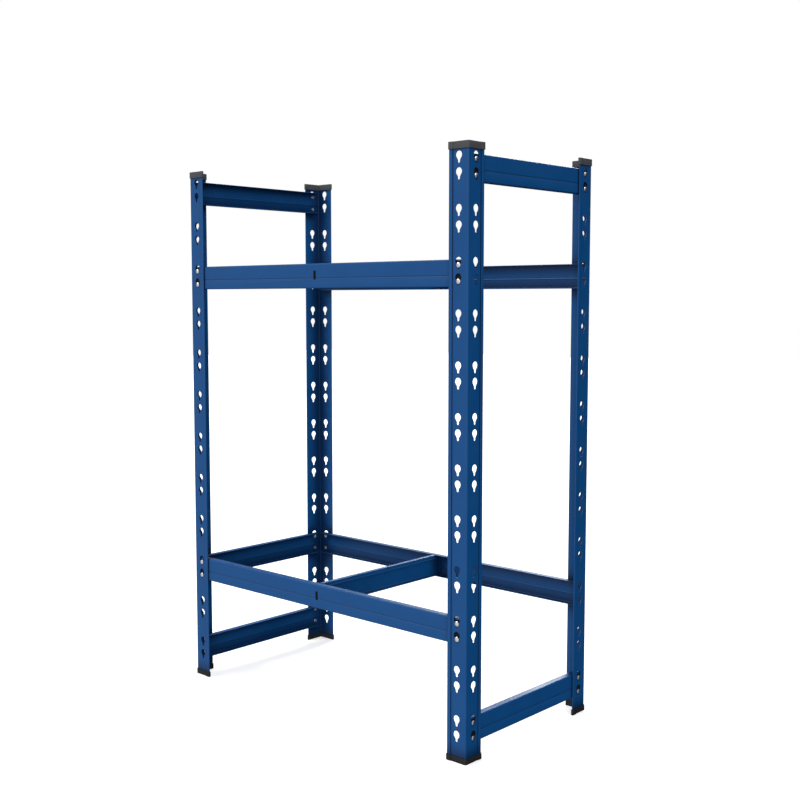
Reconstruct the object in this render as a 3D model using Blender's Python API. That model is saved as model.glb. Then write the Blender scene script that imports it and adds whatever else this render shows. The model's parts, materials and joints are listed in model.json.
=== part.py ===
"""Boltless two-level tyre storage rack.

Four punched angle posts stand in a rectangle. Folded channel beams hook into the
posts' keyholes with two rivets at each end: a front and a rear beam at each of the
two tyre levels, side beams at the top and at the bottom, and one more side beam at
the lower level's left end. A tie bar joins the two beams of each level at mid length.
Plastic caps close the posts' tops and plastic feet carry their lower ends.

X runs along the rack, Y from front to rear, Z up. The origin is on the floor under
the middle of the rack. Lengths are metres.
"""
import math

import bmesh
import bpy

MM = 0.001

# Overall size, over the plastic caps and feet.
WIDTH = 900 * MM
DEPTH = 450 * MM
HEIGHT = 1280 * MM
GAP = 0.3 * MM                  # clearance between pieces that touch

# Posts: a folded angle with the free edge of each flange hemmed outwards.
SHEET = 1.5 * MM
FLANGE = 50 * MM
HEM = 9.5 * MM
BEND = 3 * MM                   # outer radius of a fold
INNER_BEND = BEND - SHEET
WALL = 1.6 * MM                 # skirt of a cap or foot
SKIN = GAP + WALL               # from the post's surface to the outside of a skirt
CAP_HEIGHT = 15 * MM
CAP_TOP = 2.5 * MM
CAP_EDGE = 0.9 * MM             # bevel round the cap's upper edge
FOOT_HEIGHT = 13 * MM
FOOT_SOLE = 3 * MM
POST_X = WIDTH / 2 - SKIN - SHEET   # flange faces; the hems stand proud of them
POST_Y = DEPTH / 2 - SKIN - SHEET
POST_BOTTOM = FOOT_SOLE + GAP
POST_TOP = HEIGHT - CAP_TOP - GAP

# Keyholes, in pairs up the middle of each flange: a round head that tapers to a narrow
# slot. A rivet's shank is wider than the slot, so it comes to rest in the taper.
PAIR_COUNT = 12
LOWEST_PAIR = 72 * MM
PAIR_PITCH = 105.5 * MM
PAIR_SPACING = 33 * MM
KEY_FROM_CORNER = 25 * MM
HEAD_RADIUS = 8 * MM
HEAD_END = -32                  # degrees; the taper leaves the round head here
SLOT_RADIUS = 2.9 * MM
LIFT = 8.2 * MM                 # from a seated rivet up to the middle of the round head
TAPER_END = 1.8 * MM            # from a seated rivet down to the foot of the taper
SLOT_END = 4.9 * MM             # from a seated rivet down to the slot's last centre
SEAT_DROP = (LIFT + HEAD_RADIUS - SLOT_END - SLOT_RADIUS) / 2   # below the keyhole's middle

# Beams: a channel with its web outwards and its lips inwards.
BEAM_HEIGHT = 56 * MM
LIP = 16 * MM
GROOVE_DROP = 4 * MM            # groove in the web, below the beam's middle
GROOVE_WIDTH = 5 * MM
GROOVE_DEPTH = 1.2 * MM
END_CLEARANCE = 8 * MM          # from a post's flange face to a beam's end
LIP_CUTBACK = 12 * MM           # the lips stop short, so two beams can meet at a post
SLOT_WIDTH = 7 * MM             # tie-bar slot at a long beam's middle
SLOT_HEIGHT = 20 * MM
SLOT_RISE = 2 * MM

# Rivets, measured outwards from the beam's web.
SHANK_RADIUS = 3.2 * MM
RIVET_HOLE = 3.6 * MM
TAIL_RADIUS = 4.8 * MM
TAIL_HEIGHT = 1.2 * MM
RIVET_HEAD = 5.4 * MM
RIVET_DOME = 3.4 * MM
DOME_HEIGHT = 2.4 * MM
RIVET_SIDES = 8

# Tie bars: a flat bar with two beads and narrow lips, a neck and a tab at each end.
TIE_LIP = 9 * MM
BEAD_HEIGHT = 1.8 * MM
BEAD_WIDTH = 6 * MM
BEADS = (18.5 * MM, -20 * MM)
NECK_HEIGHT = 50 * MM
TAB_HEIGHT = 16 * MM
NECK_INSET = 3 * MM             # from the beams' lips to the tie bar's full section
TAB_INSET = 0.5 * MM            # the tab stops inside the beam's web

BLUE = ("powder_blue", (0.016, 0.073, 0.215, 1.0), 0.42, 0.0)
BLACK = ("black_plastic", (0.028, 0.028, 0.030, 1.0), 0.55, 0.0)
ZINC = ("zinc_rivet", (0.62, 0.64, 0.66, 1.0), 0.32, 1.0)

# The keyhole pair, counted from the lowest, that each level's beams hook into.
BOTTOM_PAIR = 0
LOWER_PAIR = 2
UPPER_PAIR = 9
TOP_PAIR = 11

# Each post's name, corner signs and turn about Z.
POSTS = (
    ("front_left", -1, -1, 0),
    ("front_right", 1, -1, 90),
    ("rear_right", 1, 1, 180),
    ("rear_left", -1, 1, 270),
)

# Each side of the rack: a beam's turn there, its half length, the middle of its web's
# outer face, and the names of its two ends in the order of its own X axis.
WEB_X = POST_X - SHEET - GAP
WEB_Y = POST_Y - SHEET - GAP
SIDES = {
    "front": (0, POST_X - END_CLEARANCE, (0, -WEB_Y), ("left", "right")),
    "right": (90, POST_Y - END_CLEARANCE, (WEB_X, 0), ("front", "rear")),
    "rear": (180, POST_X - END_CLEARANCE, (0, WEB_Y), ("right", "left")),
    "left": (270, POST_Y - END_CLEARANCE, (-WEB_X, 0), ("rear", "front")),
}

BEAMS = (
    ("upper_front", "front", UPPER_PAIR),
    ("upper_rear", "rear", UPPER_PAIR),
    ("lower_front", "front", LOWER_PAIR),
    ("lower_rear", "rear", LOWER_PAIR),
    ("lower_left", "left", LOWER_PAIR),
    ("top_left", "left", TOP_PAIR),
    ("top_right", "right", TOP_PAIR),
    ("bottom_left", "left", BOTTOM_PAIR),
    ("bottom_right", "right", BOTTOM_PAIR),
)
TIE_BARS = (("upper", UPPER_PAIR), ("lower", LOWER_PAIR))


def clear_scene():
    for item in list(bpy.data.objects):
        bpy.data.objects.remove(item, do_unlink=True)


def make_material(look):
    name, colour, roughness, metallic = look
    material = bpy.data.materials.get(name) or bpy.data.materials.new(name)
    material.use_nodes = True
    shader = material.node_tree.nodes["Principled BSDF"]
    shader.inputs["Base Color"].default_value = colour
    shader.inputs["Roughness"].default_value = roughness
    shader.inputs["Metallic"].default_value = metallic
    material.diffuse_color = colour
    return material


def arc(centre, radius, start, end, steps):
    """Points on an arc from one angle to another, in degrees, both ends included."""
    points = []
    for step in range(steps + 1):
        angle = math.radians(start + (end - start) * step / steps)
        points.append((centre[0] + radius * math.cos(angle), centre[1] + radius * math.sin(angle)))
    return points


def loft(bm, rings):
    """Add a closed solid through rings of equal point counts, capped at both ends."""
    loops = [[bm.verts.new(point) for point in ring] for ring in rings]
    count = len(loops[0])
    for lower, upper in zip(loops, loops[1:]):
        for index in range(count):
            following = (index + 1) % count
            bm.faces.new((lower[index], lower[following], upper[following], upper[index]))
    bm.faces.new(list(reversed(loops[0])))
    bm.faces.new(loops[-1])


def box(bm, low, high):
    """Add a box between two corners."""
    base = [(low[0], low[1]), (high[0], low[1]), (high[0], high[1]), (low[0], high[1])]
    loft(bm, [[(x, y, z) for x, y in base] for z in (low[2], high[2])])


def mesh_from(name, bm):
    bmesh.ops.recalc_face_normals(bm, faces=bm.faces)
    mesh = bpy.data.meshes.new(name)
    bm.to_mesh(mesh)
    bm.free()
    return mesh


def add_object(name, mesh, look, location=(0, 0, 0), turn=0):
    piece = bpy.data.objects.new(name, mesh)
    bpy.context.scene.collection.objects.link(piece)
    piece.location = location
    piece.rotation_euler = (0, 0, math.radians(turn))
    if not mesh.materials:
        mesh.materials.append(make_material(look))
    return piece


def cut_mesh(name, blank, cutters):
    """Return the mesh of one solid with the cutters taken out of it."""
    solid = bpy.data.objects.new(name, blank)
    tool = bpy.data.objects.new(name + "_cutters", cutters)
    bpy.context.scene.collection.objects.link(solid)
    bpy.context.scene.collection.objects.link(tool)
    boolean = solid.modifiers.new("cut", "BOOLEAN")
    boolean.operation = "DIFFERENCE"
    boolean.solver = "EXACT"
    boolean.object = tool
    graph = bpy.context.evaluated_depsgraph_get()
    result = bpy.data.meshes.new_from_object(solid.evaluated_get(graph))
    result.name = name
    bpy.data.objects.remove(solid, do_unlink=True)
    bpy.data.objects.remove(tool, do_unlink=True)
    return result


def angle_outline(grow):
    """The post's section grown outwards, with the corner at the origin and both
    flanges along +X and +Y."""
    face = -grow
    hem_face = -SHEET - grow
    inner = SHEET + grow
    hem_start = FLANGE - HEM - grow
    tip = FLANGE - SHEET
    inner_radius = max(INNER_BEND - grow, 0.5 * MM)
    centre = inner + inner_radius
    outline = [(hem_start, face), (hem_start, hem_face)]
    outline += arc((tip, 0), inner, -90, 90, 4)
    outline += arc((centre, centre), inner_radius, 270, 180, 2)
    outline += arc((0, tip), inner, 0, 180, 4)
    outline += [(hem_face, hem_start), (face, hem_start)]
    outline += arc((BEND, BEND), BEND + grow, 180, 270, 3)
    return outline


def ring_at(outline, z):
    return [(x, y, z) for x, y in outline]


def keyhole_outline():
    """A keyhole about the rivet that rests in it, with the round head above."""
    outline = arc((0, LIFT), HEAD_RADIUS, HEAD_END, 180 - HEAD_END, 5)
    outline.append((-SLOT_RADIUS, -TAPER_END))
    outline += arc((0, -SLOT_END), SLOT_RADIUS, 180, 360, 3)
    outline.append((SLOT_RADIUS, -TAPER_END))
    return outline


def pair_middle(pair):
    return LOWEST_PAIR + pair * PAIR_PITCH


def seat_heights(pair):
    """Heights of the two rivets that hang in a pair of keyholes."""
    middle = pair_middle(pair) - SEAT_DROP
    return (middle + PAIR_SPACING / 2, middle - PAIR_SPACING / 2)


def post_mesh():
    bm = bmesh.new()
    outline = angle_outline(0)
    loft(bm, [ring_at(outline, POST_BOTTOM), ring_at(outline, POST_TOP)])
    blank = mesh_from("post_blank", bm)
    bm = bmesh.new()
    hole = keyhole_outline()
    depth = (-SHEET, SHEET * 2)
    for pair in range(PAIR_COUNT):
        for seat in seat_heights(pair):
            loft(bm, [[(KEY_FROM_CORNER + u, d, seat + v) for u, v in hole] for d in depth])
            loft(bm, [[(d, KEY_FROM_CORNER + u, seat + v) for u, v in hole] for d in depth])
    return cut_mesh("post", blank, mesh_from("post_keyholes", bm))


def cap_mesh():
    bm = bmesh.new()
    pocket = angle_outline(GAP)
    outside = angle_outline(SKIN)
    top = angle_outline(SKIN - CAP_EDGE)
    low = HEIGHT - CAP_HEIGHT
    loft(bm, [
        ring_at(pocket, HEIGHT - CAP_TOP),
        ring_at(pocket, low),
        ring_at(outside, low),
        ring_at(outside, HEIGHT - CAP_EDGE),
        ring_at(top, HEIGHT),
    ])
    return mesh_from("cap", bm)


def foot_mesh():
    bm = bmesh.new()
    pocket = angle_outline(GAP)
    outside = angle_outline(SKIN)
    sole = angle_outline(SKIN - CAP_EDGE)
    loft(bm, [
        ring_at(pocket, FOOT_SOLE),
        ring_at(pocket, FOOT_HEIGHT),
        ring_at(outside, FOOT_HEIGHT),
        ring_at(outside, CAP_EDGE),
        ring_at(sole, 0),
    ])
    return mesh_from("foot", bm)


def channel_outline():
    """The beam's section as (depth, height), web at depth 0 and lips to +depth."""
    top = BEAM_HEIGHT / 2
    groove_top = -GROOVE_DROP + GROOVE_WIDTH / 2
    groove_low = -GROOVE_DROP - GROOVE_WIDTH / 2
    outline = [(LIP, top - SHEET), (LIP, top)]
    outline += arc((BEND, top - BEND), BEND, 90, 180, 3)
    outline += [(0, groove_top), (GROOVE_DEPTH, groove_top - GROOVE_DEPTH)]
    outline += [(GROOVE_DEPTH, groove_low + GROOVE_DEPTH), (0, groove_low)]
    outline += arc((BEND, BEND - top), BEND, 180, 270, 3)
    outline += [(LIP, -top), (LIP, SHEET - top)]
    outline += arc((BEND, BEND - top), INNER_BEND, 270, 180, 2)
    inside = SHEET + GROOVE_DEPTH
    shift = SHEET / 2
    outline += [(SHEET, groove_low - shift), (inside, groove_low + GROOVE_DEPTH - shift)]
    outline += [(inside, groove_top - GROOVE_DEPTH + shift), (SHEET, groove_top + shift)]
    outline += arc((BEND, top - BEND), INNER_BEND, 180, 90, 2)
    return outline


def add_round_cutter(bm, x, z, radius, depth):
    circle = arc((x, z), radius, 0, 360, RIVET_SIDES)[:-1]
    loft(bm, [[(u, y, v) for u, v in circle] for y in depth])


def beam_mesh(name, half_length, has_slot):
    bm = bmesh.new()
    section = channel_outline()
    loft(bm, [[(x, y, z) for y, z in section] for x in (-half_length, half_length)])
    blank = mesh_from(name + "_blank", bm)
    bm = bmesh.new()
    web = (-SHEET, SHEET * 2)
    over = BEAM_HEIGHT
    for end in (-1, 1):
        near = end * (half_length - LIP_CUTBACK)
        far = end * (half_length + LIP_CUTBACK)
        box(bm, (min(near, far), BEND, -over), (max(near, far), LIP * 2, over))
        rivet_x = end * (half_length + END_CLEARANCE - KEY_FROM_CORNER)
        for rise in (PAIR_SPACING / 2, -PAIR_SPACING / 2):
            add_round_cutter(bm, rivet_x, rise, RIVET_HOLE, web)
    if has_slot:
        box(bm, (-SLOT_WIDTH / 2, web[0], SLOT_RISE - SLOT_HEIGHT / 2),
            (SLOT_WIDTH / 2, LIP / 2, SLOT_RISE + SLOT_HEIGHT / 2))
    return cut_mesh(name, blank, mesh_from(name + "_cutters", bm))


def rivet_mesh():
    """A rivet pointing along -Y from the beam's web, tail inside and dome outside."""
    hooked = GAP + SHEET + GAP
    steps = (
        (-SHEET - GAP - TAIL_HEIGHT, TAIL_RADIUS),
        (-SHEET - GAP, SHANK_RADIUS),
        (hooked, SHANK_RADIUS),
        (hooked, RIVET_HEAD),
        (hooked + DOME_HEIGHT, RIVET_DOME),
    )
    bm = bmesh.new()
    rings = []
    for out, radius in steps:
        circle = arc((0, 0), radius, 0, 360, RIVET_SIDES)[:-1]
        rings.append([(u, -out, v) for u, v in circle])
    loft(bm, rings)
    return mesh_from("rivet", bm)


def tie_outline():
    """The tie bar's section as (x, z), beads to +X and lips to -X."""
    top = BEAM_HEIGHT / 2
    face = SHEET / 2
    back = -SHEET / 2
    lip = back - TIE_LIP + SHEET
    corner = face - BEND
    half = BEAD_WIDTH / 2
    flat = half - BEAD_HEIGHT
    outline = [(lip, top), (corner, top)] + arc((corner, top - BEND), BEND, 60, 0, 2)
    for bead in BEADS:
        outline += [(face, bead + half), (face + BEAD_HEIGHT, bead + flat)]
        outline += [(face + BEAD_HEIGHT, bead - flat), (face, bead - half)]
    outline += arc((corner, BEND - top), BEND, 0, -60, 2) + [(corner, -top), (lip, -top)]
    outline += [(lip, SHEET - top)] + arc((corner, BEND - top), INNER_BEND, -90, 0, 2)
    for bead in reversed(BEADS):
        inner = bead - half + SHEET / 2
        upper = bead + half - SHEET / 2
        outline += [(back, inner), (back + BEAD_HEIGHT, inner + BEAD_HEIGHT)]
        outline += [(back + BEAD_HEIGHT, upper - BEAD_HEIGHT), (back, upper)]
    outline += arc((corner, top - BEND), INNER_BEND, 0, 90, 2) + [(lip, top - SHEET)]
    return outline


def tie_mesh():
    tip = WEB_Y - TAB_INSET
    shoulder = WEB_Y - SHEET - TAB_INSET
    full = WEB_Y - LIP - NECK_INSET
    bm = bmesh.new()
    section = tie_outline()
    loft(bm, [[(x, y, z) for x, z in section] for y in (-tip, tip)])
    blank = mesh_from("tie_blank", bm)
    bm = bmesh.new()
    clear = BEAM_HEIGHT
    beyond = tip + clear
    half_neck = NECK_HEIGHT / 2
    for end in (-1, 1):
        for up in (-1, 1):
            tab_edge = SLOT_RISE + up * TAB_HEIGHT / 2
            steps = [(full, up * half_neck), (shoulder, up * half_neck), (shoulder, tab_edge)]
            steps += [(beyond, tab_edge), (beyond, up * clear), (full, up * clear)]
            loft(bm, [[(x, end * y, z) for y, z in steps] for x in (-clear, clear)])
    return cut_mesh("tie_bar", blank, mesh_from("tie_cutters", bm))


def build_posts():
    post = post_mesh()
    cap = cap_mesh()
    foot = foot_mesh()
    for corner, x, y, turn in POSTS:
        place = (x * POST_X, y * POST_Y, 0)
        add_object("post_" + corner, post, BLUE, place, turn)
        add_object("cap_" + corner, cap, BLACK, place, turn)
        add_object("foot_" + corner, foot, BLACK, place, turn)


def build_beams():
    long_beam = beam_mesh("long_beam", SIDES["front"][1], True)
    short_beam = beam_mesh("short_beam", SIDES["left"][1], False)
    rivet = rivet_mesh()
    for name, side, pair in BEAMS:
        turn, half_length, (x, y), ends = SIDES[side]
        mesh = long_beam if side in ("front", "rear") else short_beam
        height = pair_middle(pair) - SEAT_DROP
        add_object("beam_" + name, mesh, BLUE, (x, y, height), turn)
        along = (math.cos(math.radians(turn)), math.sin(math.radians(turn)))
        reach = half_length + END_CLEARANCE - KEY_FROM_CORNER
        for end, step in zip(ends, (-reach, reach)):
            for row, seat in zip(("high", "low"), seat_heights(pair)):
                place = (x + along[0] * step, y + along[1] * step, seat)
                add_object(f"rivet_{name}_{end}_{row}", rivet, ZINC, place, turn)


def build_tie_bars():
    mesh = tie_mesh()
    for name, pair in TIE_BARS:
        add_object("tie_bar_" + name, mesh, BLUE, (0, 0, pair_middle(pair) - SEAT_DROP))


clear_scene()
build_posts()
build_beams()
build_tie_bars()
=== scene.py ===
"""Visual model of the boltless two-level tyre storage rack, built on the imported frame.

Every CAD solid is replaced by a finer piece of the same size in the same place: folded
and punched angle posts with hemmed edges, channel beams with a pressed groove, domed
rivets, beaded tie bars, moulded caps and feet. Places and overall lengths come from the
CAD boxes; the sections below repeat the part's own dimensions, apart from the hems'
crack, the groove's depth and the tie bars' end flanges. Lengths are metres.
"""
import json
import math

import bmesh
import bpy
from mathutils import Matrix, Vector

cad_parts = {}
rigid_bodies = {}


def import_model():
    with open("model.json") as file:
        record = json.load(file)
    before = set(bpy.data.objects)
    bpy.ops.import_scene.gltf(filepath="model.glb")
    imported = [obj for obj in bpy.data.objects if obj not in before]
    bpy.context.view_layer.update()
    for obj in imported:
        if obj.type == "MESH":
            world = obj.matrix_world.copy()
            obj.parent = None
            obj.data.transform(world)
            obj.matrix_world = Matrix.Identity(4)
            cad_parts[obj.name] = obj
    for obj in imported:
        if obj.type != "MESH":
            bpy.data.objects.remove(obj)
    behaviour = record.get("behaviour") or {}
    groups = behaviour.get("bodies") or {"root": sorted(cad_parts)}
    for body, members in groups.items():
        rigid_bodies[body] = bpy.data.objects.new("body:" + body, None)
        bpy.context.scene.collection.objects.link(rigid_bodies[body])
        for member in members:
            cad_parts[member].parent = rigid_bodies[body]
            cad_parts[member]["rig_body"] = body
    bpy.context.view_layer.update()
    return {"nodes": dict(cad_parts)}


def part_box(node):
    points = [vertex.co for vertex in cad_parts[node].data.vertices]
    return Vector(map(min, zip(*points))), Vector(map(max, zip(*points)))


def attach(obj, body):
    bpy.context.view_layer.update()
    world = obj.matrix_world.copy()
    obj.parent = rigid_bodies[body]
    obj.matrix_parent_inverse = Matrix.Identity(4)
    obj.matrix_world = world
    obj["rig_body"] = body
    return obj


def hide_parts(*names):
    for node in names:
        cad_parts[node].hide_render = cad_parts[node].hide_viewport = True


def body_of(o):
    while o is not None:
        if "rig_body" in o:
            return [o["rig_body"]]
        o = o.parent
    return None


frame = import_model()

MM = 0.001

# Sheet metal and the posts' section.
SHEET = 1.5 * MM
FLANGE = 50 * MM
HEM = 9.5 * MM
BEND = 3 * MM
INNER_BEND = BEND - SHEET
SMALLEST_BEND = 0.5 * MM        # inside corner of a moulded wall
HEM_CRACK = 0.25 * MM           # between the hem's return and the flange
HEM_CRACK_DEPTH = 1.5 * MM
HEM_ROUND = 0.35 * MM
GAP = 0.3 * MM

# Keyholes, about the rivet that rests in each one.
PAIR_COUNT = 12
LOWEST_PAIR = 72 * MM
PAIR_PITCH = 105.5 * MM
PAIR_SPACING = 33 * MM
KEY_FROM_CORNER = 25 * MM
HEAD_RADIUS = 8 * MM
HEAD_END = -32
SLOT_RADIUS = 2.9 * MM
LIFT = 8.2 * MM
TAPER_END = 1.8 * MM
SLOT_END = 4.9 * MM
TAPER_SOFTNESS = 1.1 * MM       # rounding where the taper meets the slot
SEAT_DROP = (LIFT + HEAD_RADIUS - SLOT_END - SLOT_RADIUS) / 2

# Caps and feet.
SKIN = 1.9 * MM                 # from the post's surface to the outside of a skirt
CAP_HEIGHT = 15 * MM
CAP_TOP = 2.5 * MM
FOOT_HEIGHT = 13 * MM
FOOT_SOLE = 3 * MM
MOULD_EDGE = 0.9 * MM           # rounding of a cap's top edge and a foot's bottom edge
RIM_EDGE = 0.35 * MM            # rounding of the skirt's open rim
SKIRT_CORNER = 0.8 * MM

# Beams.
BEAM_HEIGHT = 56 * MM
LIP = 16 * MM
GROOVE_DROP = 4 * MM
GROOVE_WIDTH = 5 * MM
GROOVE_DEPTH = 0.8 * MM
GROOVE_LEAN = 2.2               # 1 is symmetrical; higher puts the deepest line lower
END_CLEARANCE = 8 * MM
LIP_CUTBACK = 12 * MM
SLOT_WIDTH = 7 * MM
SLOT_HEIGHT = 20 * MM
SLOT_RISE = 2 * MM
SLOT_CORNER = 1.2 * MM
PAINTED_SHADE_END = 36 * MM           # of a beam's web, behind the post's flange; painted near black outside as shade

# Rivets.
SHANK_RADIUS = 3.2 * MM
RIVET_HOLE = 3.6 * MM
TAIL_RADIUS = 4.8 * MM
TAIL_HEIGHT = 1.2 * MM
TAIL_DIMPLE = 1.9 * MM
# The dimple in the clenched tail, from its centre out: (share of the tail's height above
# the web, radius).
DIMPLE = (
    (0.35, 0.2 * MM),
    (0.45, TAIL_DIMPLE * 0.6),
    (0.9, TAIL_DIMPLE),
    (1.0, TAIL_DIMPLE * 1.25),
)
RIVET_HEAD = 5.4 * MM
RIVET_RIM = 0.5 * MM            # height of the head's edge below its dome
RIM_CHAMFER = 0.2 * MM
DOME_HEIGHT = 2.4 * MM
DOME_TIP = 0.15 * MM            # radius of the small flat on top of the dome
DOME_STEPS = 10
RIVET_SIDES = 40

# Tie bars.
TIE_LIP = 9 * MM
BEAD_HEIGHT = 1.8 * MM
BEAD_WIDTH = 6 * MM
BEADS = (18.5 * MM, -20 * MM)
NECK_HEIGHT = 50 * MM
TAB_HEIGHT = 16 * MM
NECK_INSET = 3 * MM
TAB_INSET = 0.5 * MM
END_FLANGE = 5 * MM             # each side of the web, across the back of the beam's slot
END_FLANGE_HEIGHT = 46 * MM

SLOT_SHADE_DEPTH = 0.05 * MM   # depth of the end faces behind the beam's slot that are painted near black as shade

# Edges of punched and sheared sheet, softened by the powder coat.
COATED_EDGE = 0.3 * MM
EDGE_ANGLE = math.radians(50)
SMOOTH_ANGLE = math.radians(35)

# Second material of beams and tie bars: painted shade, near black, on faces that only show through
# a hole.
PAINTED_SHADE_INDEX = 1

POSTS = (
    ("front_left", -1, -1, 0),
    ("front_right", 1, -1, 90),
    ("rear_right", 1, 1, 180),
    ("rear_left", -1, 1, 270),
)
# Each side's turn, and the names of its beams' two ends along the beam's own X axis.
SIDES = {
    "front": (0, ("left", "right")),
    "right": (90, ("front", "rear")),
    "rear": (180, ("right", "left")),
    "left": (270, ("rear", "front")),
}
BEAMS = (
    ("upper_front", "front"),
    ("upper_rear", "rear"),
    ("lower_front", "front"),
    ("lower_rear", "rear"),
    ("lower_left", "left"),
    ("top_left", "left"),
    ("top_right", "right"),
    ("bottom_left", "left"),
    ("bottom_right", "right"),
)

post_low, post_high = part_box("post_front_left")
POST_BOTTOM = post_low.z
POST_TOP = post_high.z
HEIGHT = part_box("cap_front_left")[1].z
# From the rack's middle to the outer face of the front and rear beams' webs.
tie_low, tie_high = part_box("tie_bar_upper")
WEB_Y = (tie_high.y - tie_low.y) / 2 + TAB_INSET


# ---------------------------------------------------------------- outlines


def arc(centre, radius, start, end, steps):
    """Points on an arc from one angle to another, in degrees, both ends included."""
    points = []
    for step in range(steps + 1):
        angle = math.radians(start + (end - start) * step / steps)
        points.append((centre[0] + radius * math.cos(angle), centre[1] + radius * math.sin(angle)))
    return points


def curve(start, control, end, steps):
    """Points on a quadratic curve, both ends included."""
    points = []
    for step in range(steps + 1):
        t = step / steps
        weights = ((1 - t) ** 2, 2 * t * (1 - t), t ** 2)
        points.append(tuple(
            weights[0] * a + weights[1] * b + weights[2] * c
            for a, b, c in zip(start, control, end)
        ))
    return points


def ring_at(outline, z):
    return [(x, y, z) for x, y in outline]


def swapped(points):
    """The same points mirrored to the other flange, in the opposite order."""
    return [(y, x) for x, y in reversed(points)]


def angle_outline(grow, hem_edge):
    """The angle section grown outwards, its corner at the origin and its flanges along
    +X and +Y. hem_edge holds the points at the hem's inner edge on the X flange."""
    inner = SHEET + grow
    tip = FLANGE - SHEET
    inner_radius = max(INNER_BEND - grow, SMALLEST_BEND)
    centre = inner + inner_radius
    outline = list(hem_edge)
    outline += arc((tip, 0), inner, -90, 90, 14)
    outline += arc((centre, centre), inner_radius, 270, 180, 6)
    outline += arc((0, tip), inner, 0, 180, 14)
    outline += swapped(hem_edge)
    outline += arc((BEND, BEND), BEND + grow, 180, 270, 8)
    return outline


def folded_hem_edge():
    """The sheared edge of the hem's return, with the thin crack behind it."""
    start = FLANGE - HEM
    face = -HEM_CRACK
    edge = [(start, 0), (start + HEM_CRACK_DEPTH, face / 2)]
    edge += arc((start + HEM_ROUND, face - HEM_ROUND), HEM_ROUND, 90, 180, 3)
    edge += arc((start + HEM_ROUND, HEM_ROUND - SHEET), HEM_ROUND, 180, 270, 3)
    return edge


def moulded_hem_edge(grow):
    """The step in a cap's or foot's wall where it goes round the hem."""
    start = FLANGE - HEM - grow
    corner = SKIRT_CORNER
    edge = [(start, -grow)]
    edge += arc((start + corner, corner - SHEET - grow), corner, 180, 270, 4)
    return edge


def skirt_outline(grow):
    return angle_outline(grow, moulded_hem_edge(grow))


def keyhole_outline():
    """A keyhole about the rivet that rests in it, with the round head above."""
    head = (HEAD_RADIUS * math.cos(math.radians(HEAD_END)),
            LIFT + HEAD_RADIUS * math.sin(math.radians(HEAD_END)))
    foot = (SLOT_RADIUS, -TAPER_END)
    share = TAPER_SOFTNESS / math.dist(head, foot)
    above = (foot[0] + share * (head[0] - foot[0]), foot[1] + share * (head[1] - foot[1]))
    below = (foot[0], foot[1] - TAPER_SOFTNESS)
    right = curve(below, foot, above, 4)
    outline = arc((0, LIFT), HEAD_RADIUS, HEAD_END, 180 - HEAD_END, 40)
    outline += [(-u, v) for u, v in reversed(right)]
    outline += arc((0, -SLOT_END), SLOT_RADIUS, 180, 360, 18)
    outline += right
    return outline


def groove_line(depth_in, steps):
    """(depth, height) points down a beam's web across its groove, on one of its faces. The
    groove's lower slope is the shorter and steeper one."""
    points = []
    for step in range(steps + 1):
        t = step / steps
        dip = GROOVE_DEPTH * (1 - math.cos(2 * math.pi * t ** GROOVE_LEAN)) / 2
        points.append((depth_in + dip, -GROOVE_DROP + GROOVE_WIDTH * (0.5 - t)))
    return points


def channel_outline():
    """A beam's section as (depth, height), web at depth 0 and lips to +depth."""
    top = BEAM_HEIGHT / 2
    outline = [(LIP, top - SHEET), (LIP, top)]
    outline += arc((BEND, top - BEND), BEND, 90, 180, 8)
    outline += groove_line(0, 14)
    outline += arc((BEND, BEND - top), BEND, 180, 270, 8)
    outline += [(LIP, -top), (LIP, SHEET - top)]
    outline += arc((BEND, BEND - top), INNER_BEND, 270, 180, 6)
    outline += list(reversed(groove_line(SHEET, 14)))
    outline += arc((BEND, top - BEND), INNER_BEND, 180, 90, 6)
    return outline


def bead_line(face, bead, steps):
    """(x, z) points down a tie bar's web across one bead, on one of its faces."""
    points = []
    for step in range(steps + 1):
        t = step / steps
        rise = BEAD_HEIGHT * (1 - math.cos(2 * math.pi * t)) / 2
        points.append((face + rise, bead + BEAD_WIDTH * (0.5 - t)))
    return points


def tie_outline():
    """The tie bar's section as (x, z), beads to +X and lips to -X."""
    top = BEAM_HEIGHT / 2
    face = SHEET / 2
    lip = face - TIE_LIP
    corner = face - BEND
    outline = [(lip, top)] + arc((corner, top - BEND), BEND, 90, 0, 8)
    for bead in BEADS:
        outline += bead_line(face, bead, 12)
    outline += arc((corner, BEND - top), BEND, 0, -90, 8) + [(lip, -top), (lip, SHEET - top)]
    outline += arc((corner, BEND - top), INNER_BEND, -90, 0, 6)
    for bead in reversed(BEADS):
        outline += list(reversed(bead_line(-face, bead, 12)))
    outline += arc((corner, top - BEND), INNER_BEND, 0, 90, 6) + [(lip, top - SHEET)]
    return outline


def rounded_rectangle(width, height, rise, corner):
    """A rectangle with round corners, its middle at the given rise."""
    right = width / 2 - corner
    top = height / 2 - corner
    middles = ((right, top), (-right, top), (-right, -top), (right, -top))
    outline = []
    for quarter, (x, z) in enumerate(middles):
        outline += arc((x, rise + z), corner, quarter * 90, quarter * 90 + 90, 5)
    return outline


# ---------------------------------------------------------------- meshes


def loft(bm, rings):
    """Add a closed solid through rings of equal point counts, capped at both ends."""
    loops = [[bm.verts.new(point) for point in ring] for ring in rings]
    count = len(loops[0])
    for lower, upper in zip(loops, loops[1:]):
        for index in range(count):
            following = (index + 1) % count
            bm.faces.new((lower[index], lower[following], upper[following], upper[index]))
    bm.faces.new(list(reversed(loops[0])))
    bm.faces.new(loops[-1])


def box(bm, low, high):
    """Add a box between two corners."""
    base = [(low[0], low[1]), (high[0], low[1]), (high[0], high[1]), (low[0], high[1])]
    loft(bm, [ring_at(base, z) for z in (low[2], high[2])])


def mesh_from(name, bm):
    bmesh.ops.recalc_face_normals(bm, faces=bm.faces)
    mesh = bpy.data.meshes.new(name)
    bm.to_mesh(mesh)
    bm.free()
    return mesh


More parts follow.
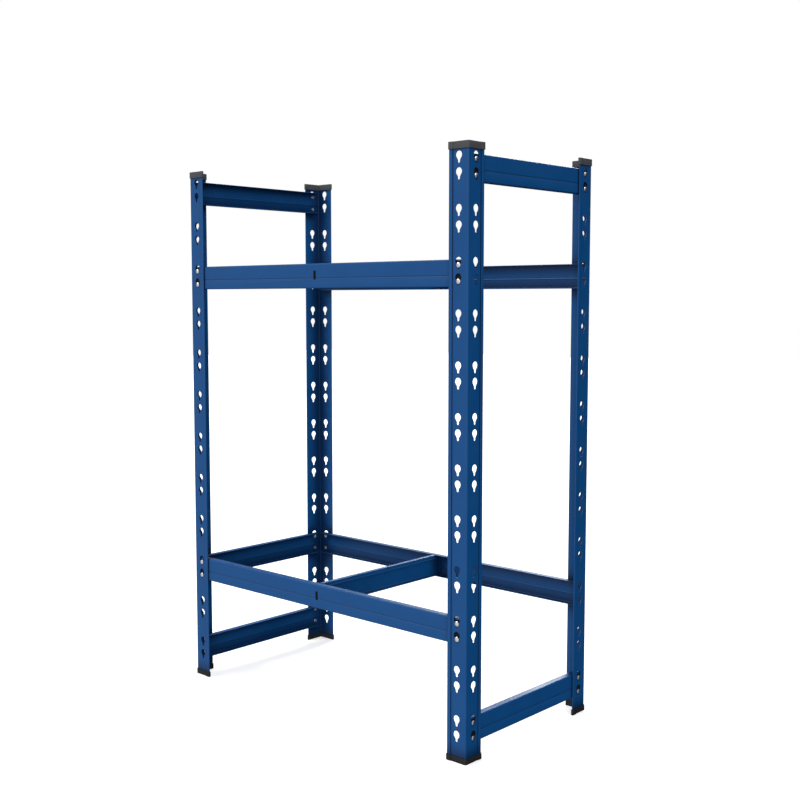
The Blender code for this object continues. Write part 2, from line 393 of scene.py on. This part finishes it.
def smoothed(mesh):
    mesh.shade_smooth()
    mesh.set_sharp_from_angle(angle=SMOOTH_ANGLE)
    return mesh


def evaluated_copy(piece, name):
    """Apply a temporary object's modifiers to a new mesh and remove the object."""
    graph = bpy.context.evaluated_depsgraph_get()
    mesh = bpy.data.meshes.new_from_object(piece.evaluated_get(graph))
    mesh.name = name
    bpy.data.objects.remove(piece, do_unlink=True)
    return mesh


def temporary_object(name, mesh):
    piece = bpy.data.objects.new(name, mesh)
    bpy.context.scene.collection.objects.link(piece)
    return piece


def combined(name, mesh, other, operation):
    """Return the first mesh with the second joined to it or cut from it."""
    solid = temporary_object(name, mesh)
    tool = temporary_object(name + "_tool", other)
    boolean = solid.modifiers.new("combine", "BOOLEAN")
    boolean.operation = operation
    boolean.solver = "EXACT"
    boolean.object = tool
    result = evaluated_copy(solid, name)
    bpy.data.objects.remove(tool, do_unlink=True)
    return result


def cut_mesh(name, blank, cutters):
    """Return the blank with the cutters taken out of it and its sharp edges rounded."""
    mesh = combined(name, blank, cutters, "DIFFERENCE")
    mesh.shade_smooth()
    solid = temporary_object(name, mesh)
    bevel = solid.modifiers.new("edge", "BEVEL")
    bevel.width = COATED_EDGE
    bevel.segments = 3
    bevel.limit_method = "ANGLE"
    bevel.angle_limit = EDGE_ANGLE
    bevel.harden_normals = True
    return evaluated_copy(solid, name)


def seat_heights(pair):
    """Heights of the two rivets that hang in a pair of keyholes."""
    middle = LOWEST_PAIR + pair * PAIR_PITCH - SEAT_DROP
    return (middle - PAIR_SPACING / 2, middle + PAIR_SPACING / 2)


def post_mesh():
    """A post with its corner at the origin and its keyholes through both flanges."""
    seats = [seat for pair in range(PAIR_COUNT) for seat in seat_heights(pair)]
    keyhole_middles = [seat + SEAT_DROP for seat in seats]
    cuts = [(low + high) / 2 for low, high in zip(keyhole_middles, keyhole_middles[1:])]
    section = angle_outline(0, folded_hem_edge())
    bm = bmesh.new()
    loft(bm, [ring_at(section, z) for z in [POST_BOTTOM] + cuts + [POST_TOP]])
    blank = mesh_from("post_blank", bm)
    bm = bmesh.new()
    hole = keyhole_outline()
    depth = (-SHEET, SHEET * 2)
    for seat in seats:
        loft(bm, [[(KEY_FROM_CORNER + u, d, seat + v) for u, v in hole] for d in depth])
        loft(bm, [[(d, KEY_FROM_CORNER + u, seat + v) for u, v in hole] for d in depth])
    return cut_mesh("post", blank, mesh_from("post_keyholes", bm))


def skirt_rings(rim, edge, face, roof):
    """Rings of a cap or foot: up its pocket's wall from the roof to the open rim, down the
    outside and round the outer edge to the end face. Heights may run either way."""
    up = 1 if rim > face else -1
    rings = [ring_at(skirt_outline(GAP), roof), ring_at(skirt_outline(GAP), rim - up * RIM_EDGE)]
    for turn in (45, 90):
        angle = math.radians(turn)
        grow = GAP + RIM_EDGE * (1 - math.cos(angle))
        rings.append(ring_at(skirt_outline(grow), rim - up * RIM_EDGE * (1 - math.sin(angle))))
    for turn in (90, 45, 0):
        angle = math.radians(turn)
        grow = SKIN - RIM_EDGE * (1 - math.cos(angle))
        rings.append(ring_at(skirt_outline(grow), rim - up * RIM_EDGE * (1 - math.sin(angle))))
    for turn in (0, 18, 36, 54, 72, 90):
        angle = math.radians(turn)
        grow = SKIN - edge * (1 - math.cos(angle))
        rings.append(ring_at(skirt_outline(grow), face + up * edge * (1 - math.sin(angle))))
    return rings


def cap_mesh():
    """A cap in its place on a post whose corner is at the origin."""
    bm = bmesh.new()
    loft(bm, skirt_rings(HEIGHT - CAP_HEIGHT, MOULD_EDGE, HEIGHT, HEIGHT - CAP_TOP))
    return smoothed(mesh_from("cap", bm))


def foot_mesh():
    """A foot in its place on a post whose corner is at the origin."""
    bm = bmesh.new()
    loft(bm, skirt_rings(FOOT_HEIGHT, MOULD_EDGE, 0, FOOT_SOLE))
    return smoothed(mesh_from("foot", bm))


def beam_mesh(name, half_length, has_slot):
    """A channel beam along X. Outside, its web's two ends, which the posts' flanges cover,
    are painted near black as shade with the second material."""
    bm = bmesh.new()
    section = channel_outline()
    open_half = half_length - PAINTED_SHADE_END
    lengths = (-half_length, -open_half, open_half, half_length)
    loft(bm, [[(x, y, z) for y, z in section] for x in lengths])
    blank = mesh_from(name + "_blank", bm)
    bm = bmesh.new()
    web = (-SHEET, SHEET * 2)
    over = BEAM_HEIGHT
    for end in (-1, 1):
        near = end * (half_length - LIP_CUTBACK)
        far = end * (half_length + LIP_CUTBACK)
        box(bm, (min(near, far), BEND, -over), (max(near, far), LIP * 2, over))
        rivet_x = end * (half_length + END_CLEARANCE - KEY_FROM_CORNER)
        for rise in (PAIR_SPACING / 2, -PAIR_SPACING / 2):
            circle = arc((rivet_x, rise), RIVET_HOLE, 0, 360, 32)[:-1]
            loft(bm, [[(x, y, z) for x, z in circle] for y in web])
    if has_slot:
        slot = rounded_rectangle(SLOT_WIDTH, SLOT_HEIGHT, SLOT_RISE, SLOT_CORNER)
        loft(bm, [[(x, y, z) for x, z in slot] for y in (web[0], LIP / 2)])
    mesh = cut_mesh(name, blank, mesh_from(name + "_cutters", bm))
    # Painted shade: the web's outer faces at both ends, seen only through the keyholes, take the
    # near-black material.
    for face in mesh.polygons:
        on_end = abs(face.center.x) > open_half
        on_web = abs(face.center.z) < BEAM_HEIGHT / 2 - BEND
        outside = face.center.y < GROOVE_DEPTH * 1.5 and face.normal.y < -0.3
        if on_end and on_web and outside:
            face.material_index = PAINTED_SHADE_INDEX
    return mesh


def rivet_mesh():
    """A rivet pointing along -Y from the beam's web, tail inside and dome outside."""
    hooked = GAP + SHEET + GAP
    tail = -SHEET - GAP
    rise = DOME_HEIGHT - RIVET_RIM
    dome_radius = (RIVET_HEAD ** 2 + rise ** 2) / (2 * rise)
    dome_centre = hooked + DOME_HEIGHT - dome_radius
    half_angle = math.degrees(math.asin(RIVET_HEAD / dome_radius))
    tail_edge = TAIL_HEIGHT / 2
    profile = [(tail - TAIL_HEIGHT * share, radius) for share, radius in DIMPLE]
    profile += arc((tail - tail_edge, TAIL_RADIUS - tail_edge), tail_edge, 180, 0, 8)
    profile += [(tail, SHANK_RADIUS), (hooked, SHANK_RADIUS)]
    profile += [(hooked, RIVET_HEAD - RIM_CHAMFER), (hooked + RIM_CHAMFER, RIVET_HEAD)]
    for step in range(DOME_STEPS):
        angle = math.radians(half_angle * (1 - step / DOME_STEPS))
        radius = dome_radius * math.sin(angle)
        profile.append((dome_centre + dome_radius * math.cos(angle), radius))
    profile.append((hooked + DOME_HEIGHT, DOME_TIP))
    bm = bmesh.new()
    rings = []
    for out, radius in profile:
        circle = arc((0, 0), radius, 0, 360, RIVET_SIDES)[:-1]
        rings.append([(u, -out, v) for u, v in circle])
    loft(bm, rings)
    return smoothed(mesh_from("rivet", bm))


def tie_mesh():
    """A tie bar along Y. Each end has a flange behind the beam's slot and a tab in it."""
    tip = WEB_Y - TAB_INSET
    shoulder = WEB_Y - SHEET - TAB_INSET
    full = WEB_Y - LIP - NECK_INSET
    section = tie_outline()
    bm = bmesh.new()
    loft(bm, [[(x, y, z) for x, z in section] for y in (-tip, tip)])
    blank = mesh_from("tie_blank", bm)
    bm = bmesh.new()
    for near, far in ((-shoulder, SHEET - shoulder), (shoulder - SHEET, shoulder)):
        half = END_FLANGE_HEIGHT / 2
        box(bm, (-END_FLANGE, near, -half), (END_FLANGE, far, half))
    blank = combined("tie_with_ends", blank, mesh_from("tie_ends", bm), "UNION")
    bm = bmesh.new()
    clear = BEAM_HEIGHT
    beyond = tip + clear
    half_neck = NECK_HEIGHT / 2
    for end in (-1, 1):
        for up in (-1, 1):
            tab_edge = SLOT_RISE + up * TAB_HEIGHT / 2
            steps = [(full, up * half_neck), (shoulder, up * half_neck), (shoulder, tab_edge)]
            steps += [(beyond, tab_edge), (beyond, up * clear), (full, up * clear)]
            loft(bm, [[(x, end * y, z) for y, z in steps] for x in (-clear, clear)])
    mesh = cut_mesh("tie_bar", blank, mesh_from("tie_cutters", bm))
    # Painted shade: the end faces behind the beam's slot take the near-black material.
    for face in mesh.polygons:
        if abs(face.center.y) > shoulder - SLOT_SHADE_DEPTH:
            face.material_index = PAINTED_SHADE_INDEX
    return mesh


# ---------------------------------------------------------------- materials

# Linear colours.
BLUE_DEEP = (0.0030, 0.073, 0.242)
BLUE_LIGHT = (0.0040, 0.079, 0.259)
BLUE_SPECK = (0.006, 0.098, 0.310)
# Lighter blue for edges: partly the thinner coat, partly a painted highlight.
BLUE_THIN_EDGE_AND_HIGHLIGHT = (0.045, 0.170, 0.400)
# Deep blue painted shade for corners, slots and gaps.
BLUE_PAINTED_SHADE = (0.0012, 0.024, 0.090)
# Near-black painted shade for faces that only show through a hole.
SHADE_PAINT_DARK = (0.0010, 0.0014, 0.0030)
SHADE_PAINT_LIGHT = (0.0016, 0.0022, 0.0045)
CAP_DARK = (0.070, 0.073, 0.078)
CAP_LIGHT = (0.084, 0.087, 0.093)
FOOT_DARK = (0.011, 0.011, 0.011)
FOOT_LIGHT = (0.015, 0.015, 0.015)
ZINC_DULL = (0.78, 0.81, 0.86)
ZINC_BRIGHT = (0.93, 0.94, 0.95)
FLOOR_DARK = (0.90, 0.90, 0.90)
FLOOR_LIGHT = (0.94, 0.94, 0.94)
WHITE = (1.0, 1.0, 1.0, 1.0)

# The part of a noise's range that most of it falls in.
NOISE_LOW = 0.3
NOISE_HIGH = 0.7


def start_material(name, metallic, specular):
    material = bpy.data.materials.new(name)
    material.use_nodes = True
    tree = material.node_tree
    shader = tree.nodes["Principled BSDF"]
    shader.inputs["Metallic"].default_value = metallic
    shader.inputs["Specular IOR Level"].default_value = specular
    coordinates = tree.nodes.new("ShaderNodeTexCoord").outputs["Object"]
    return material, tree, shader, coordinates


def noise(tree, coordinates, scale, detail=2.0, roughness=0.5):
    """Soft noise with about this many patches to a metre."""
    node = tree.nodes.new("ShaderNodeTexNoise")
    node.inputs["Scale"].default_value = scale
    node.inputs["Detail"].default_value = detail
    node.inputs["Roughness"].default_value = roughness
    tree.links.new(coordinates, node.inputs["Vector"])
    return node.outputs["Fac"]


def spread(tree, value, low, high, to_low, to_high):
    """Map a value from one range to another, clamped."""
    node = tree.nodes.new("ShaderNodeMapRange")
    node.inputs["From Min"].default_value = low
    node.inputs["From Max"].default_value = high
    node.inputs["To Min"].default_value = to_low
    node.inputs["To Max"].default_value = to_high
    tree.links.new(value, node.inputs["Value"])
    return node.outputs["Result"]


def blend(tree, factor, first, second):
    """Mix two colours; each is a colour or another node's output."""
    node = tree.nodes.new("ShaderNodeMix")
    node.data_type = "RGBA"
    tree.links.new(factor, node.inputs[0])
    for socket, colour in ((node.inputs[6], first), (node.inputs[7], second)):
        if isinstance(colour, tuple):
            socket.default_value = colour + (1.0,)
        else:
            tree.links.new(colour, socket)
    return node.outputs[2]


def bump(tree, height, distance, strength=1.0, under=None):
    node = tree.nodes.new("ShaderNodeBump")
    node.inputs["Distance"].default_value = distance
    node.inputs["Strength"].default_value = strength
    tree.links.new(height, node.inputs["Height"])
    if under is not None:
        tree.links.new(under, node.inputs["Normal"])
    return node.outputs["Normal"]


def edge_mask(tree, radius):
    """1 along the piece's edges and 0 on its flat faces."""
    rounded = tree.nodes.new("ShaderNodeBevel")
    rounded.samples = 6
    rounded.inputs["Radius"].default_value = radius
    flat = tree.nodes.new("ShaderNodeNewGeometry")
    dot = tree.nodes.new("ShaderNodeVectorMath")
    dot.operation = "DOT_PRODUCT"
    tree.links.new(rounded.outputs["Normal"], dot.inputs[0])
    tree.links.new(flat.outputs["Normal"], dot.inputs[1])
    return spread(tree, dot.outputs["Value"], 0.995, 0.80, 0.0, 1.0)


def openness(tree, reach):
    """1 in the open, falling towards 0 in corners, slots and gaps."""
    node = tree.nodes.new("ShaderNodeAmbientOcclusion")
    node.samples = 8
    node.inputs["Distance"].default_value = reach
    return node.outputs["AO"]


def powder_coat():
    """Satin blue powder coat: fine orange peel, faint clouding, lighter on the edges, partly for
    the thinner coat there and partly as a painted highlight, and darker in corners, slots and gaps
    as painted shade from ambient occlusion."""
    material, tree, shader, place = start_material("blue_powder_coat", 0.0, 0.28)
    clouds = noise(tree, place, 14.0, 3.0)
    grain = noise(tree, place, 900.0, 2.0)
    peel = noise(tree, place, 420.0, 1.5)
    cloud_share = spread(tree, clouds, NOISE_LOW, NOISE_HIGH, 0.0, 1.0)
    tone = blend(tree, cloud_share, BLUE_DEEP, BLUE_LIGHT)
    speck_share = spread(tree, grain, 0.62, 0.80, 0.0, 0.35)
    speck = blend(tree, speck_share, tone, BLUE_SPECK)
    # Lighter along the edges: partly the thinner coat there, partly a painted highlight.
    edge_share = spread(tree, edge_mask(tree, 0.9 * MM), 0.0, 1.0, 0.0, 0.45)
    thin_edge_and_highlight = blend(tree, edge_share, speck, BLUE_THIN_EDGE_AND_HIGHLIGHT)
    # Painted shade: the colour darkens to deep blue in corners, slots and gaps, from ambient
    # occlusion.
    unshaded_share = spread(tree, openness(tree, 45 * MM), 0.72, 0.97, 0.0, 1.0)
    colour = blend(tree, unshaded_share, BLUE_PAINTED_SHADE, thin_edge_and_highlight)
    tree.links.new(colour, shader.inputs["Base Color"])
    roughness = spread(tree, clouds, NOISE_LOW, NOISE_HIGH, 0.36, 0.46)
    tree.links.new(roughness, shader.inputs["Roughness"])
    orange_peel = bump(tree, peel, 0.02 * MM, 0.6)
    tree.links.new(bump(tree, grain, 0.006 * MM, 0.5, orange_peel), shader.inputs["Normal"])
    return material


def matt_grained(name, dark, light, roughness):
    """A matt surface with a fine grain and rubbed edges: moulded plastic, or the near-black
    painted shade on the faces that only show through a hole."""
    material, tree, shader, place = start_material(name, 0.0, 0.3)
    clouds = noise(tree, place, 60.0, 3.0)
    grain = noise(tree, place, 2600.0, 2.0)
    cloud_share = spread(tree, clouds, NOISE_LOW, NOISE_HIGH, 0.0, 1.0)
    tone = blend(tree, cloud_share, dark, light)
    edge_share = spread(tree, edge_mask(tree, 0.6 * MM), 0.0, 1.0, 0.0, 0.25)
    rubbed = tuple(1.8 * level for level in light)
    tree.links.new(blend(tree, edge_share, tone, rubbed), shader.inputs["Base Color"])
    uneven = spread(tree, grain, NOISE_LOW, NOISE_HIGH, roughness - 0.06, roughness + 0.08)
    tree.links.new(uneven, shader.inputs["Roughness"])
    tree.links.new(bump(tree, grain, 0.03 * MM, 0.7), shader.inputs["Normal"])
    return material


def zinc_plate():
    """Bright zinc plating with cloudy passivation and fine scratches."""
    material, tree, shader, place = start_material("zinc_plate", 1.0, 0.5)
    clouds = noise(tree, place, 500.0, 3.0)
    scratches = noise(tree, place, 3500.0, 4.0, 0.7)
    cloud_share = spread(tree, clouds, 0.35, 0.65, 0.0, 1.0)
    tree.links.new(blend(tree, cloud_share, ZINC_DULL, ZINC_BRIGHT), shader.inputs["Base Color"])
    roughness = spread(tree, scratches, NOISE_LOW, NOISE_HIGH, 0.20, 0.36)
    tree.links.new(roughness, shader.inputs["Roughness"])
    tree.links.new(bump(tree, scratches, 0.01 * MM, 0.5), shader.inputs["Normal"])
    return material


def studio_floor():
    """Pale matt floor with a barely visible mottle, glowing a little to lighten shadows."""
    material, tree, shader, place = start_material("studio_floor", 0.0, 0.1)
    shader.inputs["Roughness"].default_value = 0.85
    shader.inputs["Emission Color"].default_value = WHITE
    shader.inputs["Emission Strength"].default_value = 0.46
    mottle = noise(tree, place, 3.0, 3.0)
    tree.links.new(blend(tree, mottle, FLOOR_DARK, FLOOR_LIGHT), shader.inputs["Base Color"])
    return material


# ---------------------------------------------------------------- pieces


def add_piece(node, mesh, looks, location, turn=0):
    """Stand a copy of the mesh in a CAD node's place, on the node's body."""
    piece = bpy.data.objects.new(node + "_shown", mesh.copy())
    piece.data.transform(Matrix.Translation(location) @ Matrix.Rotation(math.radians(turn), 4, "Z"))
    for look in looks:
        piece.data.materials.append(look)
    bpy.context.scene.collection.objects.link(piece)
    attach(piece, body_of(frame["nodes"][node])[0])
    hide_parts(node)


def build_posts(blue, cap_plastic, foot_plastic):
    post = post_mesh()
    cap = cap_mesh()
    foot = foot_mesh()
    for corner, x, y, turn in POSTS:
        low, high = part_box("post_" + corner)
        place = Vector((low.x + SHEET if x < 0 else high.x - SHEET,
                        low.y + SHEET if y < 0 else high.y - SHEET, 0))
        add_piece("post_" + corner, post, [blue], place, turn)
        add_piece("cap_" + corner, cap, [cap_plastic], place, turn)
        add_piece("foot_" + corner, foot, [foot_plastic], place, turn)


def beam_place(node, turn):
    """The middle of a beam's web face, and the beam's half length."""
    low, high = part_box(node)
    middle = (low + high) / 2
    half = (high - low) / 2
    outward = Matrix.Rotation(math.radians(turn), 3, "Z") @ Vector((0, -1, 0))
    depth = min(half.x, half.y)
    return middle + outward * depth, max(half.x, half.y)


def build_beams(blue, painted_shade, zinc):
    long_beam = beam_mesh("long_beam", beam_place("beam_upper_front", 0)[1], True)
    short_beam = beam_mesh("short_beam", beam_place("beam_top_left", 270)[1], False)
    rivet = rivet_mesh()
    for name, side in BEAMS:
        turn, ends = SIDES[side]
        mesh = long_beam if side in ("front", "rear") else short_beam
        place, half_length = beam_place("beam_" + name, turn)
        add_piece("beam_" + name, mesh, [blue, painted_shade], place, turn)
        along = Matrix.Rotation(math.radians(turn), 3, "Z") @ Vector((1, 0, 0))
        reach = half_length + END_CLEARANCE - KEY_FROM_CORNER
        for end, step in zip(ends, (-reach, reach)):
            for row in ("high", "low"):
                node = f"rivet_{name}_{end}_{row}"
                low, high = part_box(node)
                seat = place + along * step
                seat.z = (low.z + high.z) / 2
                add_piece(node, rivet, [zinc], seat, turn)


def build_tie_bars(blue, painted_shade):
    mesh = tie_mesh()
    for name in ("upper", "lower"):
        low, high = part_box("tie_bar_" + name)
        middle = Vector((0, 0, (low.z + high.z) / 2))
        add_piece("tie_bar_" + name, mesh, [blue, painted_shade], middle)


# ---------------------------------------------------------------- studio

FLOOR_HALF = 14.0
LIGHT_DISTANCE = 4.0

# Distant soft lights: name, azimuth (0 in front, 90 at the right-hand end), elevation,
# softness, all in degrees, and power.
KEYS = (
    ("front_key", -42, 45, 20, 1.1),
    ("end_fill", 85, 45, 30, 0.85),
    ("corner_strip", 40, 8, 16, 0.5),
    ("rear_fill", 205, 28, 30, 1.8),
)

# What surrounds the rack for light and reflections: walls from dark behind it to bright in
# front of it, and an even ceiling.
FRONT = (0, -1, 0)
WALL_DARK = (0.02, 0.02, 0.02)
WALL_BRIGHT = (0.66, 0.67, 0.70)
CEILING = (0.58, 0.60, 0.63)

CAMERA_PLACE = (1.91611, -2.04116, 0.96593)
CAMERA_AZIMUTH = math.radians(42.26)
CAMERA_TILT = math.radians(4.988)
LENS = 52.2
SENSOR = 36.0


def build_floor():
    bm = bmesh.new()
    bmesh.ops.create_grid(bm, x_segments=8, y_segments=8, size=FLOOR_HALF)
    mesh = bpy.data.meshes.new("floor")
    bm.to_mesh(mesh)
    bm.free()
    floor = bpy.data.objects.new("floor", mesh)
    mesh.materials.append(studio_floor())
    bpy.context.scene.collection.objects.link(floor)
    floor.visible_diffuse = False
    floor.visible_glossy = False


def add_key(name, azimuth, elevation, softness, power):
    light = bpy.data.lights.new(name, "SUN")
    light.angle = math.radians(softness)
    light.energy = power
    lamp = bpy.data.objects.new(name, light)
    around = math.radians(azimuth)
    up = math.radians(elevation)
    level = Vector((math.sin(around), -math.cos(around), 0))
    towards = level * math.cos(up) + Vector((0, 0, math.sin(up)))
    lamp.rotation_euler = towards.to_track_quat("Z", "Y").to_euler()
    lamp.location = towards * LIGHT_DISTANCE
    bpy.context.scene.collection.objects.link(lamp)


def build_world():
    """The studio's walls and ceiling for the lighting, and plain white for the camera."""
    world = bpy.data.worlds.new("studio")
    bpy.context.scene.world = world
    world.use_nodes = True
    tree = world.node_tree
    direction = tree.nodes.new("ShaderNodeTexCoord").outputs["Generated"]
    parts = tree.nodes.new("ShaderNodeSeparateXYZ")
    tree.links.new(direction, parts.inputs[0])
    rise = spread(tree, parts.outputs["Z"], 0.25, 0.95, 0.0, 1.0)
    front = tree.nodes.new("ShaderNodeVectorMath")
    front.operation = "DOT_PRODUCT"
    front.inputs[1].default_value = FRONT
    tree.links.new(direction, front.inputs[0])
    side = spread(tree, front.outputs["Value"], -0.55, 0.9, 0.0, 1.0)
    wall = blend(tree, side, WALL_DARK, WALL_BRIGHT)
    light = tree.nodes["Background"]
    tree.links.new(blend(tree, rise, wall, CEILING), light.inputs["Color"])
    backdrop = tree.nodes.new("ShaderNodeBackground")
    backdrop.inputs["Color"].default_value = WHITE
    path = tree.nodes.new("ShaderNodeLightPath")
    mix = tree.nodes.new("ShaderNodeMixShader")
    tree.links.new(path.outputs["Is Camera Ray"], mix.inputs[0])
    tree.links.new(light.outputs[0], mix.inputs[1])
    tree.links.new(backdrop.outputs[0], mix.inputs[2])
    tree.links.new(mix.outputs[0], tree.nodes["World Output"].inputs["Surface"])


def build_camera():
    """A view of the rack's front and right side, towards the front right post."""
    data = bpy.data.cameras.new("camera")
    data.lens = LENS
    data.sensor_width = SENSOR
    camera = bpy.data.objects.new("camera", data)
    camera.location = CAMERA_PLACE
    camera.rotation_euler = (math.radians(90) - CAMERA_TILT, 0, CAMERA_AZIMUTH)
    bpy.context.scene.collection.objects.link(camera)
    bpy.context.scene.camera = camera


bpy.context.scene.view_settings.view_transform = "Standard"
blue_paint = powder_coat()
cap_plastic = matt_grained("cap_plastic", CAP_DARK, CAP_LIGHT, 0.55)
foot_plastic = matt_grained("foot_plastic", FOOT_DARK, FOOT_LIGHT, 0.60)
# Near-black painted shade for the faces behind keyholes and slots.
painted_shade_coat = matt_grained("painted_shade_coat", SHADE_PAINT_DARK, SHADE_PAINT_LIGHT, 0.80)
build_posts(blue_paint, cap_plastic, foot_plastic)
build_beams(blue_paint, painted_shade_coat, zinc_plate())
build_tie_bars(blue_paint, painted_shade_coat)
build_floor()
for key in KEYS:
    add_key(*key)
build_world()
build_camera()
